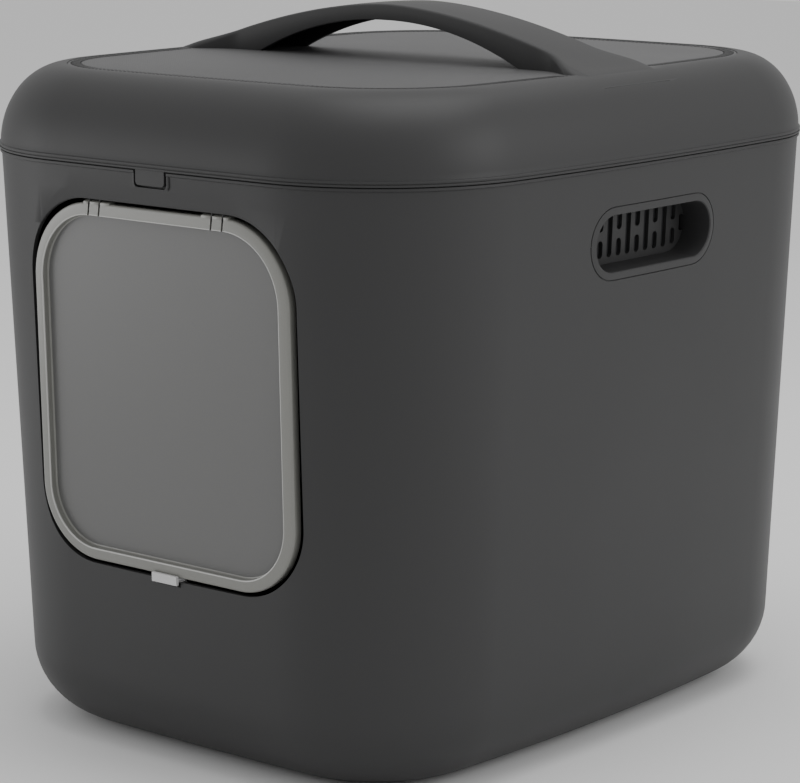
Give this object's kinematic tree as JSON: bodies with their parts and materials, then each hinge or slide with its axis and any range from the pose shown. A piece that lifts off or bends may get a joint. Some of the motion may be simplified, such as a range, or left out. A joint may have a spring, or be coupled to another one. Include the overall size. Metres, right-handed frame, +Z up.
{
  "type": "hooded litter box",
  "caption": "Tall hooded litter box: bow-sided tub with a swinging front flap, hinged lid with an arched handle and filtered grip recesses.",
  "frame": {"origin": "middle of the tub's flat bottom, on the floor", "axes": "+Z up, -Y to the front, where the flap is, +X to the right-hand side as seen from the front"},
  "size_m": [0.4, 0.4945, 0.4577],
  "materials": {
    "tub": "fine satin grain, anthracite",
    "lid": "fine satin grain, anthracite",
    "panel": "fine woven moulded texture, anthracite",
    "flap": "smoky translucent moulding",
    "clear": "clear moulding",
    "cover": "plain dark moulding",
    "foam": "open-cell filter foam"
  },
  "bodies": {
    "base": {"tub": "tub", "lid_pin_right": "cover", "lid_pin_left": "cover"},
    "lid_body": {"lid": "lid", "top_panel": "panel"},
    "flap": {"door_flap": "flap"},
    "lock": {"flap_lock": "clear"},
    "filter_right": {"filter_cover_right": "cover", "filter_pad_right": "foam"},
    "filter_left": {"filter_cover_left": "cover", "filter_pad_left": "foam"}
  },
  "joints": [
    {"name": "lid_hinge", "type": "hinge", "parent": "base", "child": "lid_body", "pos_m": [0, 0.2467, 0.362], "axis": [-1, 0, 0], "range_deg": [0, 100]},
    {"name": "flap_hinge", "type": "hinge", "parent": "base", "child": "flap", "pos_m": [0, -0.2335, 0.3425], "axis": [1, 0, 0], "range_deg": [-60, 60]},
    {"name": "lock_slide", "type": "slide", "parent": "flap", "child": "lock", "axis": [1, 0, 0], "range_m": [0, 0.012]},
    {"name": "filter_right_slide", "type": "slide", "parent": "base", "child": "filter_right", "axis": [-1, 0, 0], "range_m": [0, 0.025]},
    {"name": "filter_left_slide", "type": "slide", "parent": "base", "child": "filter_left", "axis": [1, 0, 0], "range_m": [0, 0.025]}
  ]
}
